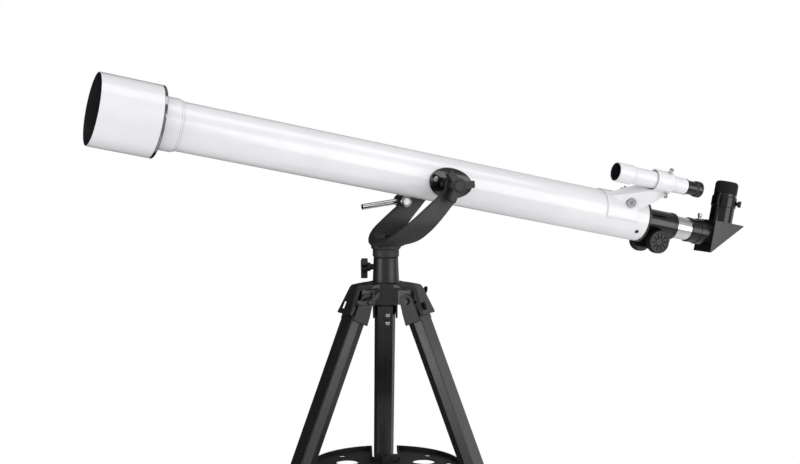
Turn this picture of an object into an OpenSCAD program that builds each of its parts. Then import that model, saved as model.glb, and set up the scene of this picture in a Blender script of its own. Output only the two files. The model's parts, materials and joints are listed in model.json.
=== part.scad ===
// Refracting telescope on an altitude and azimuth fork with a folding tripod.
// Every piece is built with the origin on the floor under the azimuth axis, +Z up, objective
// towards -X, eyepiece towards +X, altitude axis along Y. placed() then centres the whole.
// Millimetres and degrees.

/* [Optical tube] */
// Outer diameter of the main tube
tube_od = 64; // [60:1:70]
// Wall thickness of the main tube
tube_wall = 1.5; // [1:0.1:2.5]
// Length of the main tube ahead of the altitude axis
tube_front = 385; // [340:1:390]
// Length of the main tube behind the altitude axis
tube_rear = 329; // [325:1:330]
// Elevation of the tube above the horizon at rest
elev = 11.27; // [8:0.01:14]
// Distance from the tube centreline down to the altitude axis
axis_drop = 7; // [4:0.5:9]
// Outer diameter of the dew shield
dew_od = 94; // [90:1:100]
// Length of the dew shield
dew_len = 79; // [60:1:110]

/* [Focuser and diagonal] */
// Outer diameter of the drawtube
draw_od = 33.5; // [33.2:0.1:33.6]
// Number of teeth on the focus pinion
pinion_teeth = 15; // [15:1:15]
// Module of the rack and pinion
rack_module = 0.8; // [0.8:0.1:0.8]
// Diameter of the focus knobs
knob_d = 34; // [28:1:36]
// Width of the diagonal housing
diag_w = 42; // [38:1:46]
// Nominal barrel diameter of eyepiece and diagonal nose
barrel_d = 31.75; // [31.75:0.01:31.75]

/* [Finder] */
// Distance of the finder axis from the tube axis
finder_r = 72; // [68:1:76]
// Angle of the finder from the top of the tube
finder_ang = 35.5; // [30:0.5:40]

/* [Mount] */
// Height of the altitude axis above the floor
alt_z = 804.5; // [804.5:0.5:804.5]
// Offset of the altitude axis behind the azimuth axis
alt_x = 78.4; // [76:0.1:80]
// Inner half width of the fork
fork_in = 43; // [42:0.5:45]
// Thickness of the fork arms
fork_t = 7; // [6:0.5:8]
// Radius of the altitude adjusting rod
rod_r = 4; // [3:0.1:4]

/* [Tripod] */
// Splay of each leg from the vertical
splay = 22.5; // [22.5:0.1:22.5]
// Distance of the leg pivots from the azimuth axis
pivot_r = 40; // [40:1:40]
// Height of the leg pivots above the floor
pivot_z = 650; // [650:1:650]
// Tangential width of a leg section
leg_w = 29; // [27:1:30]
// Radial depth of a leg section
leg_d = 23; // [22:1:24]
// Distance from leg pivot to the lower end of the outer leg
leg_end = 657; // [600:1:657]
// Distance from leg pivot to brace pivot
brace_at = 330; // [330:1:330]
// Length of a brace between pivots
brace_len = 139; // [139:1:139]

/* [Hidden] */
NODES = ["main_tube", "dew_shield", "dew_shield_ring", "lens_cell", "objective_crown",
  "objective_flint", "tube_rings", "focuser_housing", "tube_screws", "saddle_plates",
  "saddle_bolts", "drawtube", "focus_rack", "drawtube_collar", "pinion_shaft",
  "focus_knobs", "pinion_cover", "drawtube_thumbscrew", "diagonal_housing", "diagonal_mirror",
  "eyepiece_holder", "holder_screw", "eyepiece_body", "eyepiece_lenses", "eyecup",
  "finder_bracket", "finder_hardware", "finder_tube", "finder_objective", "finder_eyepiece",
  "yoke", "azimuth_spindle", "altitude_knob", "adjust_rod", "rod_swivel",
  "swivel_screw", "tripod_hub", "azimuth_knob", "leg_bolts", "wing_nuts",
  "leg_head_a", "leg_head_b", "leg_head_c", "leg_outer_a", "leg_outer_b", "leg_outer_c",
  "leg_inner_a", "leg_inner_b", "leg_inner_c", "leg_knob_a", "leg_knob_b", "leg_knob_c",
  "foot_a", "foot_b", "foot_c", "brace_a", "brace_b", "brace_c", "spreader_hub", "tray"];
node = "all";

gap = 0.05;              // clearance between touching pieces
tube_r = tube_od/2;
bore_r = tube_r - tube_wall;
leg_az = [for (turn = [-120, 120, 0]) 68.94 + turn];

// Radii of the bolts, screws and shafts; their holes are wider by the gap
pivot_bolt_r = 4;        // altitude pivots
rod_pin_r = 2.5;         // pin through the eye of the adjusting rod
screw_r = 2;             // saddle, finder bracket, drawtube and holder screws
shaft_r = 2.5;           // focus shaft
spindle_r = 11;
spindle_neck_r = 8;
leg_bolt_r = 3;
brace_pin_r = 2;
stud_r = 3;              // stud that holds the tray

// Both ends of the adjusting rod lie on one circle round the altitude axis
rod_pivot_r = 39.95;
swivel_ang = -140.9;
rod_pin_ang = -24.8;
rod_tilt = 90 - (swivel_ang + rod_pin_ang)/2;
rod_y = 58;

// Brace pivots: on the leg lugs at the outer end, on the spreader at radius hub_r
hub_r = 22;
lug_in = 18;
brace_x = pivot_r + brace_at*sin(splay) - lug_in*cos(splay);
brace_z = pivot_z - brace_at*cos(splay) - lug_in*sin(splay);
brace_rise = acos((brace_x - hub_r)/brace_len);
spread_z = brace_z + brace_len*sin(brace_rise);

// ---------- frames ----------
// On the tube centreline, +X towards the eyepiece, origin abreast of the altitude axis
module on_tube()
  translate([alt_x, 0, alt_z]) rotate([0, elev, 0]) translate([0, 0, axis_drop]) children();
// On the altitude axis, not tilted
module on_axis() translate([alt_x, 0, alt_z]) children();
// The same frame as on_axis, reached from inside on_tube
module level_in_tube() translate([0, 0, -axis_drop]) rotate([0, -elev, 0]) children();
// On the tube, turned so that +Z points at the finder
module on_finder_side() on_tube() rotate([finder_ang, 0, 0]) children();
module on_finder() on_finder_side() translate([0, 0, finder_r]) children();
// On one leg, origin on its pivot, -Z down the leg, +X outwards
module on_leg(angle) rotate([0, 0, angle]) translate([pivot_r, 0, pivot_z])
  rotate([0, -splay, 0]) children();
module each_leg() for (angle = leg_az) rotate([0, 0, angle]) children();
module at_leg_pivots() each_leg() translate([pivot_r, 0, pivot_z]) children();
// Turns a profile so that it extrudes along -Y starting at y0
module along_y(y0) translate([0, y0, 0]) rotate([90, 0, 0]) children();
// Turns an object of revolution so that its axis lies along +X
module along_x(x0) translate([x0, 0, 0]) rotate([0, 90, 0]) children();
// Point on the circle of the rod pivots, from the altitude axis
function rod_pivot(angle) = rod_pivot_r*[cos(angle), 0, sin(angle)];

// ---------- shapes ----------
// Solid of revolution from a table of [radius, distance along the axis]
module turned(profile) rotate_extrude($fn = 96) polygon(profile);
// Tube along X from x0 to x1
module ring_x(x0, x1, outer, inner) along_x(x0) difference() {
  cylinder(r = outer, h = x1 - x0, $fn = 96);
  translate([0, 0, -1]) cylinder(r = inner, h = x1 - x0 + 2, $fn = 96);
}
// Cylinder on the azimuth axis, its lower end a drop below the altitude axis
module azimuth_disc(drop, radius, height, fn = 64)
  translate([0, 0, alt_z - drop]) cylinder(r = radius, h = height, $fn = fn);
// Chamfered rectangle centred on the origin
module rect_c(width, height, cut) {
  x = width/2;
  y = height/2;
  polygon([[-x + cut, -y], [x - cut, -y], [x, -y + cut], [x, y - cut],
    [x - cut, y], [-x + cut, y], [-x, y - cut], [-x, -y + cut]]);
}
// Flat outline of a grip with lobes round a centre disc
module lobes(reach, width, count) {
  circle(r = width*0.98, $fn = 48);
  for (i = [0:count-1]) rotate(i*360/count) polygon([
    [0, -width*0.72], [reach*0.45, -width*0.50], [reach*0.80, -width*0.44],
    [reach*0.97, -width*0.44], [reach, -width*0.36], [reach, width*0.36],
    [reach*0.97, width*0.44], [reach*0.80, width*0.44], [reach*0.45, width*0.50],
    [0, width*0.72]]);
}
// Grip with fine grooves round its rim
module knurled_head(radius, height, grooves) difference() {
  cylinder(r = radius, h = height, $fn = 48);
  for (i = [0:grooves-1]) rotate(i*360/grooves)
    translate([radius + 0.2, 0, -1]) cylinder(r = 0.55, h = 8, $fn = 13);
}
// Screw along +Z with a cross recess in its chamfered head
module small_screw(length, radius, head_r, head_h) {
  cylinder(r = radius, h = length, $fn = 24);
  translate([0, 0, length]) difference() {
    union() {
      cylinder(r = head_r, h = head_h*0.5, $fn = 32);
      translate([0, 0, head_h*0.5])
        cylinder(r1 = head_r, r2 = head_r*0.62, h = head_h*0.5, $fn = 32);
    }
    for (angle = [0, 90]) rotate(angle)
      translate([-head_r*0.55, -head_r*0.11, head_h*0.55])
        cube([head_r*1.1, head_r*0.22, head_h]);
  }
}
// Height of a spherical face of radius R at distance x from its axis; R = 0 is flat
function sag(x, R) = R == 0 ? 0 : sign(R)*(abs(R) - sqrt(R*R - x*x));
// Lens with its axis along Z, between an upper and a lower face
module lens(radius, thick, upper, lower) {
  steps = 14;
  turned(concat(
    [for (i = [0:steps]) [radius*i/steps, thick - sag(radius*i/steps, upper)]],
    [for (i = [steps:-1:0]) [radius*i/steps, sag(radius*i/steps, lower)]]));
}
// Quadratic curve from start to end, drawn towards the point mid
function curve(start, mid, end, steps) =
  [for (i = [0:steps]) let(t = i/steps) (1-t)*(1-t)*start + 2*t*(1-t)*mid + t*t*end];

// ---------- places of the tube screws, z outwards from the tube axis ----------
module at_focuser_screws(z)
  for (angle = [6, 126, 246]) rotate([angle, 0, 0]) translate([315, 0, z]) children();
// side is 1 towards +Y, -1 towards -Y
module at_saddle_screws(side, z)
  for (x = [-21, 25]) rotate([-side*94, 0, 0]) translate([x, 0, z]) children();
module at_finder_screws(z)
  for (angle = [-24, 24]) rotate([angle, 0, 0]) translate([293, 0, z]) children();
module at_cover_screws(z)
  for (x = [349.6, 362.8], y = [-11.5, 11.5]) translate([x, y, z]) children();

// ---------- optical tube ----------
dew_rear = -402.5;
dew_r = dew_od/2;
dew_wall = 1.3;
dew_fit_r = dew_r - dew_wall - gap;
lens_r = 30;
// [radius, distance behind x = -409]
dew_ring_profile = [[dew_r - 3.3, 0], [dew_fit_r, 0], [dew_fit_r, 6.55], [dew_r, 6.55],
  [dew_r, 9.9], [dew_r - 0.6, 10.5], [34.25, 10.5], [34.25, 7.5], [dew_r - 3.3, 7.5]];
// [radius, distance behind x = -415]
cell_profile = [[30.3, 0], [34.2, 0], [34.2, 16.5], [34.5, 16.5], [34.5, 37.5], [34.0, 39],
  [33.2, 39.6], [33.2, 42], [32.05, 42], [32.05, 21], [27, 21], [27, 18.5], [30.3, 18.5]];

module main_tube() color("white") on_tube() difference() {
  ring_x(-tube_front, tube_rear, tube_r, bore_r);
  at_focuser_screws(bore_r - 2) cylinder(r = 1.6, h = 6, $fn = 24);
  for (side = [-1, 1])
    at_saddle_screws(side, bore_r - 2) cylinder(r = screw_r + gap, h = 6, $fn = 24);
  rotate([finder_ang, 0, 0])
    at_finder_screws(bore_r - 2) cylinder(r = screw_r + gap, h = 6, $fn = 24);
}
module dew_shield() color("white") on_tube()
  ring_x(dew_rear - dew_len, dew_rear, dew_r, dew_r - dew_wall);
module dew_shield_ring() color("dimgray") on_tube() along_x(-409) turned(dew_ring_profile);
module lens_cell() color("white") on_tube() along_x(-415) turned(cell_profile);
module objective_crown() color([0.75, 0.85, 0.95, 0.5]) on_tube()
  along_x(-402.4) mirror([0, 0, 1]) lens(lens_r, thick = 8, upper = 520, lower = 400);
module objective_flint() color([0.75, 0.85, 0.9, 0.5]) on_tube()
  along_x(-396.7) mirror([0, 0, 1]) lens(lens_r, thick = 4.2, upper = -400, lower = 2400);

baffles = [[-190, 24], [70, 18]];  // [x of the front face, radius of the opening]
// Blackened rings inside the tube: lens retainer, lens spacer and two baffles
module tube_rings() color([0.05, 0.05, 0.05]) on_tube() {
  ring_x(-414.9, -409.75, 30.25, 27.5);
  ring_x(-403.4, -402.1, 30.2, 29.2);
  for (baffle = baffles) {
    ring_x(baffle[0], baffle[0] + 1.5, bore_r - gap, baffle[1]);
    ring_x(baffle[0] + 1.5, baffle[0] + 9, bore_r - gap, bore_r - 1.2);
  }
}
module tube_screws() color([0.1, 0.1, 0.1]) on_tube() {
  at_focuser_screws(tube_r - 5.45) small_screw(5.5, 1.45, head_r = 2.9, head_h = 1.5);
  at_cover_screws(-33.2) mirror([0, 0, 1]) small_screw(4.45, 1.2, head_r = 2.2, head_h = 1.3);
}

// ---------- saddle ----------
boss_in = 28;                // inner end of the pivot bosses, from the tube's middle plane
boss_out = fork_in - 0.2;
lug_ang = rod_pin_ang + elev;
lug_at = rod_pivot_r*[cos(lug_ang), sin(lug_ang)];

// Side outline of a saddle plate from the altitude axis; the +Y one has a lug for the rod pin
module saddle_outline(side) {
  translate([3, 3]) polygon([for (t = [0:6:354]) [32*cos(t), 21*sin(t)]]);
  if (side > 0) {
    translate(lug_at) circle(r = 9.5, $fn = 48);
    polygon([lug_at + [4, 8.6], [20, 8], [10, -14], lug_at - [4, 8.6]]);
  }
}
module saddle_plate(side) difference() {
  union() {
    intersection() {
      ring_x(-50, 60, tube_r + 3.2, tube_r + gap);
      translate([0, side*30, -axis_drop]) rotate([90, 0, 0])
        linear_extrude(60, center = true) saddle_outline(side);
      translate([-50, side > 0 ? 1 : -61, -60]) cube([110, 60, 100]);
    }
    difference() {
      translate([0, 0, -axis_drop]) along_y(side > 0 ? boss_out : -boss_in)
        cylinder(r = 11, h = boss_out - boss_in, $fn = 64);
      along_x(-30) cylinder(r = tube_r + 2, h = 60, $fn = 96);
    }
    if (side > 0) difference() {
      level_in_tube() translate(rod_pivot(rod_pin_ang))
        along_y(52.9) cylinder(r = 6.5, h = 32, $fn = 48);
      along_x(-60) cylinder(r = tube_r + 1, h = 160, $fn = 96);
    }
  }
  translate([0, side*70, -axis_drop]) rotate([side*90, 0, 0])
    cylinder(r = pivot_bolt_r + gap, h = 36, $fn = 40);
  at_saddle_screws(side, 20) cylinder(r = screw_r + gap, h = 30, $fn = 24);
  if (side > 0) level_in_tube() translate(rod_pivot(rod_pin_ang))
    along_y(54) cylinder(r = rod_pin_r + gap, h = 14, $fn = 32);
}
// Curved plates that carry the altitude pivots, one on each side of the tube
module saddle_plates() color([0.05, 0.05, 0.06]) on_tube()
  for (side = [-1, 1]) saddle_plate(side);

// Altitude pivot bolts, and the pin that carries the rod eye
module pivot_bolts() {
  along_y(-34.5) cylinder(r = pivot_bolt_r, h = 26.5, $fn = 40);
  along_y(57.5) cylinder(r = pivot_bolt_r, h = 23, $fn = 40);
  along_y(51.8) cylinder(r = 8, h = 1.5, $fn = 48);
  along_y(56.8) cylinder(r = 6.6, h = 5.1, $fn = 6);
  translate(rod_pivot(rod_pin_ang)) {
    along_y(64.4) cylinder(r = rod_pin_r, h = 24, $fn = 32);
    along_y(64.4) cylinder(r = 4.4, h = 1.6, $fn = 32);
  }
}
module saddle_bolts() color("silver") {
  on_tube() for (side = [-1, 1]) at_saddle_screws(side, tube_r - 4)
    small_screw(7.3, screw_r, head_r = 3.4, head_h = 1.8);
  on_axis() pivot_bolts();
}

// ---------- focuser ----------
pinion_x = 356;
pinion_z = -27.8;
pitch_r = pinion_teeth*rack_module/2;
draw_bore_r = draw_od/2 + gap;
barrel_bore_r = 15.93;
draw_screw_x = 438;
// [radius, distance behind x = 302]
housing_profile = [[28, 0], [bore_r - gap, 0], [bore_r - gap, 27.1], [32.7, 27.1],
  [33.4, 27.8], [33.4, 29.6], [32.7, 30.3], [26, 30.6], [22.2, 32.5], [20.2, 36],
  [19.5, 40], [19.5, 83], [20.1, 83.2], [20.1, 88], [draw_bore_r, 88],
  [draw_bore_r, 27.1], [28, 27.1]];
// [radius, distance behind x = 417.7]
collar_profile = [[draw_bore_r, 0], [17.9, 0], [18.4, 0.5], [18.4, 15.8], [19.4, 16.2],
  [19.4, 24.4], [18.9, 24.9], [barrel_bore_r, 24.9], [barrel_bore_r, 3.3], [draw_bore_r, 3.3]];

module focuser_housing() color([0.08, 0.08, 0.09]) on_tube() difference() {
  union() {
    along_x(302) turned(housing_profile);
    translate([332.2, -7, -24.6]) cube([55.6, 14, 8.4]);
    translate([347, -15.5, -35.6]) cube([18.5, 31, 16]);
  }
  along_x(320) cylinder(r = draw_bore_r, h = 100, $fn = 96);
  // Channel for the rack, then room for the shaft and the pinion
  translate([300, -3.3, -23.3]) cube([100, 6.6, 12]);
  translate([pinion_x, 0, pinion_z]) {
    along_y(20) cylinder(r = shaft_r + gap, h = 40, $fn = 40);
    along_y(3.6) cylinder(r = 7.3, h = 7.2, $fn = 48);
  }
  translate([pinion_x - 7.4, -3.6, -40]) cube([14.8, 7.2, 12.2]);
  at_focuser_screws(20) cylinder(r = 1.55, h = 20, $fn = 24);
  at_cover_screws(-37) cylinder(r = 1.25, h = 5, $fn = 24);
}
module pinion_cover() color([0.08, 0.08, 0.09]) on_tube() difference() {
  union() {
    translate([347.4, -15, -37.6]) cube([17.7, 30, 1.95]);
    translate([349.4, -3.4, -36.2]) cube([13.2, 6.8, 1.2]);
  }
  at_cover_screws(-39) cylinder(r = 1.3, h = 5, $fn = 24);
}
module drawtube() color("silver") on_tube() difference() {
  ring_x(268, 420.9, draw_od/2, 14.9);
  translate([260, -3.05, -20]) cube([126, 6.1, 4]);
}
module focus_rack() color([0.12, 0.12, 0.13]) on_tube() {
  pitch = PI*rack_module;
  translate([272, -3, -20.85]) cube([112, 6, 4.85]);
  // Half a pitch off the pinion's centre, so that its tooth meets a gap
  for (i = [-30:12]) translate([pinion_x + pitch*(i + 0.5), 0, 0])
    along_y(3) linear_extrude(6)
      polygon([[-0.80, -20.8], [0.80, -20.8], [0.24, -22.45], [-0.24, -22.45]]);
}
module drawtube_collar() color([0.08, 0.08, 0.09]) on_tube() difference() {
  along_x(417.7) turned(collar_profile);
  translate([draw_screw_x, 0, 10]) cylinder(r = screw_r + gap, h = 20, $fn = 32);
}
module drawtube_thumbscrew() color("silver") on_tube() translate([draw_screw_x, 0, 16.2]) {
  cylinder(r = screw_r, h = 7, $fn = 32);
  translate([0, 0, 7]) cylinder(r = 3.3, h = 4.6, $fn = 40);
  translate([0, 0, 5.2]) cylinder(r = 2.6, h = 2, $fn = 32);
}
// Roll angle at which an involute of the base circle reaches a radius
function roll_at(radius, base) = sqrt((radius/base)*(radius/base) - 1)*180/PI;
// Point of an involute flank, turned back by half a tooth; side is 1 or -1
function flank_pt(base, roll, side, half) = let(
    x = base*(cos(roll) + roll*PI/180*sin(roll)),
    y = side*base*(sin(roll) - roll*PI/180*cos(roll)),
    turn = -side*half)
  [x*cos(turn) - y*sin(turn), x*sin(turn) + y*cos(turn)];
// Pinion outline with involute teeth, 20 degrees pressure angle
module pinion_2d() {
  base = pitch_r*cos(20);
  tip = pitch_r + 0.62*rack_module + 0.1;
  root = pitch_r - 1.2*rack_module;
  roll_pitch = roll_at(pitch_r, base);
  roll_tip = roll_at(tip, base);
  half = (90/pinion_teeth)*0.80 + (roll_pitch - atan(roll_pitch*PI/180));
  inner = root*0.8;  // the teeth start inside the root disc
  circle(r = root, $fn = 48);
  for (i = [0:pinion_teeth-1]) rotate(90 + i*360/pinion_teeth) polygon(concat(
    [[inner*cos(half), -inner*sin(half)]],
    [for (k = [0:5]) flank_pt(base, roll_tip*k/5, 1, half)],
    [for (k = [5:-1:0]) flank_pt(base, roll_tip*k/5, -1, half)],
    [[inner*cos(half), inner*sin(half)]]));
}
module pinion_shaft() color("silver") on_tube() translate([pinion_x, 0, pinion_z]) {
  along_y(25) cylinder(r = shaft_r, h = 50, $fn = 40);
  along_y(3.1) linear_extrude(6.2) pinion_2d();
}
// Ribbed knob along +Z, with a dished outer face that carries slanted vanes
module focus_knob() {
  rim = knob_d/2 - 0.9;
  difference() {
    union() {
      translate([0, 0, -1.4]) cylinder(r = 6.5, h = 3, $fn = 48);
      cylinder(r = rim, h = 11.5, $fn = 72);
      for (i = [0:35]) rotate(i*10)
        translate([rim, 0, 0.8]) cylinder(r = 0.9, h = 9.8, $fn = 13);
    }
    translate([0, 0, 10.3]) cylinder(r = 14, h = 4, $fn = 72);
    translate([0, 0, -8]) cylinder(r = shaft_r + 0.03, h = 16.2, $fn = 40);
    for (i = [0:9]) rotate(i*36)
      translate([5, -0.9, 8.6]) rotate(14) cube([7.6, 1.8, 4]);
  }
}
module focus_knobs() color([0.12, 0.12, 0.13]) on_tube() translate([pinion_x, 0, pinion_z])
  for (turn = [0, 180]) rotate([0, 0, turn]) along_y(-17.2) focus_knob();

// ---------- diagonal and eyepiece ----------
diag_x = 453;                // front face of the housing
holder_x = 477;              // axis of the eyepiece
nose_bore_r = 13.9;
eye_lens_r = 14.4;
// Outlines in the tube's middle plane, [x, z]
diag_outline = [[diag_x, 21], [505, 21], [505.4, 19.8], [454.6, -28.2], [diag_x, -28.2]];
diag_hollow = [[diag_x + 2.5, 18.6], [499, 18.6], [diag_x + 2.5, -24.2]];
mirror_outline = [[458, -19], [496.5, 17.3], [493.6, 17.3], [458, -16.2]];
// [radius, height above the foot of the piece]
holder_profile = [[barrel_bore_r, 0], [17.6, 0], [17.6, 22.8], [18.7, 23.6], [18.7, 38.4],
  [18.2, 38.95], [barrel_bore_r, 38.95]];
eyepiece_profile = [[14.6, 0], [barrel_d/2, 0], [barrel_d/2, 30.3], [16.9, 30.3], [17.2, 30.6],
  [17.2, 34.8], [16.2, 34.9], [16.2, 47], [9, 47], [9, 41], [14.6, 41]];
eyecup_profile = [[16.25, 0], [17.2, 0], [17.3, 12], [16.6, 16.2], [13.6, 18.4],
  [10.5, 18.6], [10.3, 17.4], [13.2, 15.6], [15, 13], [16.25, 12.3]];

module diagonal_housing() color([0.09, 0.09, 0.1]) on_tube() difference() {
  union() {
    along_y(diag_w/2) linear_extrude(diag_w) polygon(diag_outline);
    ring_x(diag_x - 28, diag_x + 1, barrel_d/2, nose_bore_r);
  }
  along_y(diag_w/2 - 2.2) linear_extrude(diag_w - 4.4) polygon(diag_hollow);
  along_x(diag_x - 30) cylinder(r = nose_bore_r, h = 40, $fn = 64);
  translate([holder_x, 0, 10]) cylinder(r = 14.5, h = 20, $fn = 64);
}
module diagonal_mirror() color([0.85, 0.88, 0.9]) on_tube()
  along_y(18) linear_extrude(36) polygon(mirror_outline);
// Frame of the screw in the side of the eyepiece holder, +Z outwards
module on_holder_screw()
  translate([holder_x, 0, 52]) rotate([0, 0, -40]) rotate([0, 90, 0]) children();
module eyepiece_holder() color([0.08, 0.08, 0.09]) on_tube() difference() {
  translate([holder_x, 0, 21.05]) turned(holder_profile);
  on_holder_screw() cylinder(r = screw_r + gap, h = 30, $fn = 32);
}
module holder_screw() color([0.1, 0.1, 0.1]) on_tube() on_holder_screw() {
  translate([0, 0, 16.2]) cylinder(r = screw_r, h = 5, $fn = 32);
  translate([0, 0, 19]) cylinder(r = 3.2, h = 2.4, $fn = 32);
  translate([0, 0, 21]) knurled_head(4.9, 4.6, grooves = 12);
}
module eyepiece_body() color([0.1, 0.1, 0.1]) on_tube()
  translate([holder_x, 0, 30]) turned(eyepiece_profile);
module eyepiece_lenses() color([0.7, 0.85, 0.9, 0.5]) on_tube() {
  translate([holder_x, 0, 42]) lens(eye_lens_r, thick = 5, upper = 60, lower = 60);
  translate([holder_x, 0, 64]) lens(eye_lens_r, thick = 5, upper = 60, lower = 0);
}
module eyecup() color([0.06, 0.06, 0.06]) on_tube()
  translate([holder_x, 0, 64.95]) turned(eyecup_profile);

// ---------- finder ----------
holder_ring_x = 316;         // front face of the ring that holds the finder
holder_ring_bore = 14.2;
// [radius, distance behind the front of the piece]
finder_ring_profile = [[holder_ring_bore, 0], [16, 0], [16.6, 0.6], [16.6, 3.2], [16, 3.8],
  [16, 22.6], [16.9, 23.2], [16.9, 27.4], [16.3, 28], [holder_ring_bore, 28]];
finder_tube_profile = [[11.9, 0], [13.7, 0], [14, 0.4], [14, 26], [13.4, 27], [12.5, 28],
  [12.5, 92], [12.2, 98], [11.6, 119.4], [9.6, 119.4], [9.6, 117], [10.3, 98], [11, 92],
  [11, 28], [11.9, 26]];
finder_eye_profile = [[7.2, 0], [9.5, 0], [9.5, 10], [11.9, 10.05], [11.9, 11.6],
  [10.2, 12.2], [10.2, 27.4], [11.6, 28.4], [11.8, 30.4], [11.8, 36.4], [11.2, 37.6],
  [5, 37.6], [5, 35], [7.2, 33]];

// Three screws round the finder ring, +Z outwards
module at_ring_screws() for (angle = [0, 120, 240])
  translate([336, 0, finder_r]) rotate([angle, 0, 0]) children();
module finder_bracket() color("white") on_finder_side() difference() {
  union() {
    // Curved foot on the tube
    intersection() {
      ring_x(256, 308, tube_r + 2.2, tube_r + gap);
      translate([250, -tube_r*0.94, 6]) cube([70, tube_r*1.88, 40]);
    }
    // Stalk up to the ring
    difference() {
      hull() {
        translate([302, -19, tube_r - 7.5]) cube([4.5, 38, 4]);
        translate([264, -5, tube_r + 1]) cube([4, 10, 1]);
        translate([holder_ring_x, -11, finder_r - 14]) cube([28, 22, 2]);
      }
      along_x(240) cylinder(r = tube_r + 1, h = 130, $fn = 96);
    }
    translate([0, 0, finder_r]) along_x(holder_ring_x) turned(finder_ring_profile);
  }
  translate([0, 0, finder_r]) along_x(310) cylinder(r = holder_ring_bore, h = 40, $fn = 72);
  at_finder_screws(20) cylinder(r = screw_r + gap, h = 30, $fn = 24);
  at_finder_screws(tube_r + 2.3) cylinder(r = 7, h = 30, $fn = 40);
  at_ring_screws() cylinder(r = 1.55, h = 30, $fn = 24);
}
module finder_hardware() color("silver") on_finder_side() {
  at_finder_screws(tube_r) {
    translate([0, 0, -5]) cylinder(r = screw_r, h = 18, $fn = 32);
    translate([0, 0, 2.4]) cylinder(r = 6.2, h = 1.4, $fn = 48);
    translate([0, 0, 3.8]) knurled_head(5.9, 5.2, grooves = 16);
  }
  at_ring_screws() {
    translate([0, 0, 12.6]) cylinder(r = 1.5, h = 9, $fn = 24);
    translate([0, 0, 20]) cylinder(r = 2.9, h = 4, $fn = 32);
  }
}
module finder_tube() color("white") on_finder() along_x(251.5) turned(finder_tube_profile);
module finder_objective() color([0.7, 0.8, 0.95, 0.5]) on_finder()
  along_x(266) lens(11.8, thick = 4, upper = 90, lower = 90);
module finder_eyepiece() color([0.07, 0.07, 0.07]) on_finder()
  along_x(361) turned(finder_eye_profile);

// ---------- fork ----------
// Side outline of the fork, [x, z] from the altitude axis
fork_side = concat(
  [for (t = [-20:12:200]) [11.8*cos(t), 11.8*sin(t)]],
  curve([-11.8, -4], [-14.5, -8], [-19, -12], 4),
  curve([-20, -13], [-52, -40], [-70, -54.5], 5),
  curve([-72, -56], [-90, -70], [-95.5, -82.5], 7),
  [[-95.5, -84], [-60, -84]],
  curve([-60, -80], [-48, -78], [-40, -70], 6),
  curve([-38, -68], [-20, -49], [-1, -26.5], 5),
  curve([0.5, -25], [8, -16], [11, -5], 4));
// U with a superelliptic bottom, [y, z] from the altitude axis
function u_shape(half_w, depth, z0, top) = concat(
  [[half_w, top]],
  [for (t = [0:6:180])
    [half_w*sign(cos(t))*pow(abs(cos(t)), 0.86), z0 - depth*pow(abs(sin(t)), 0.86)]],
  [[-half_w, top]]);
module fork_front() difference() {
  polygon(u_shape(fork_in + fork_t, 43, -41, 30));
  polygon(u_shape(fork_in, 31, -42, 31));
}
module yoke() color([0.27, 0.27, 0.265]) difference() {
  union() {
    intersection() {
      on_axis() along_y(60) linear_extrude(120) polygon(fork_side);
      translate([-60, 0, alt_z]) rotate([90, 0, 90]) linear_extrude(200) fork_front();
    }
    azimuth_disc(86.4, 20.3, 6.4, 96);
    azimuth_disc(97.6, 18, 12, 96);
  }
  on_axis() along_y(60) cylinder(r = pivot_bolt_r + gap, h = 120, $fn = 40);
  on_axis() translate(rod_pivot(swivel_ang)) along_y(60) cylinder(r = 4.05, h = 30, $fn = 40);
  azimuth_disc(110, spindle_neck_r + gap, 45, 48);
}
module azimuth_spindle() color("silver") {
  azimuth_disc(163.6, 15, 3);
  azimuth_disc(161, spindle_r, 63.3);
  azimuth_disc(98, spindle_neck_r, 27, 48);
  azimuth_disc(72.3, 10, 5, 6);
}
module altitude_knob() color([0.3, 0.3, 0.3]) on_axis() along_y(-50.3) difference() {
  union() {
    cylinder(r = 9, h = 8.5, $fn = 48);
    translate([0, 0, 7.5]) rotate(5) linear_extrude(9.5) lobes(23.5, 11, 3);
    translate([0, 0, 16.9]) cylinder(r1 = 9, r2 = 7, h = 1.2, $fn = 48);
  }
  translate([0, 0, -1]) cylinder(r = pivot_bolt_r + gap, h = 12.6, $fn = 40);
}
// Rod from its eye on the saddle pin, through the swivel on the fork
module adjust_rod() color("silver") on_axis()
  translate(rod_pivot(rod_pin_ang) + [0, rod_y, 0]) rotate([0, rod_tilt, 0]) difference() {
    union() {
      along_x(5) cylinder(r = rod_r, h = 122.4, $fn = 48);
      along_y(4.2) cylinder(r = 7, h = 8.4, $fn = 48);
    }
    along_y(10) cylinder(r = rod_pin_r + gap, h = 20, $fn = 32);
    along_x(117.5) cylinder(r = 2.6, h = 20, $fn = 32);
  }
module rod_swivel() color([0.1, 0.1, 0.1]) on_axis() translate(rod_pivot(swivel_ang))
  difference() {
    union() {
      along_y(65.5) cylinder(r = 9, h = 15.2, $fn = 64);
      along_y(70.5) cylinder(r = 5.5, h = 5.2, $fn = 40);
    }
    translate([0, rod_y, 0]) rotate([0, rod_tilt, 0]) rotate([0, 90, 0])
      cylinder(r = rod_r + 0.08, h = 60, center = true, $fn = 48);
    along_y(53.6) cylinder(r = 3.05, h = 10, $fn = 40);
  }
module swivel_screw() color("silver") on_axis() translate(rod_pivot(swivel_ang)) {
  along_y(53.4) cylinder(r = 3, h = 3.5, $fn = 40);
  along_y(50.1) cylinder(r = 4, h = 9, $fn = 40);
  along_y(42.8) rotate_extrude($fn = 64) polygon([[0, 0], [8.4, 0], [8.4, 4.4],
    [7.4, 5.4], [5, 6], [5, 5], [0, 5]]);
}

// ---------- tripod head ----------
hub_foot = 160.5;            // underside of the hub, below the altitude axis
az_screw_r = 4;
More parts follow.
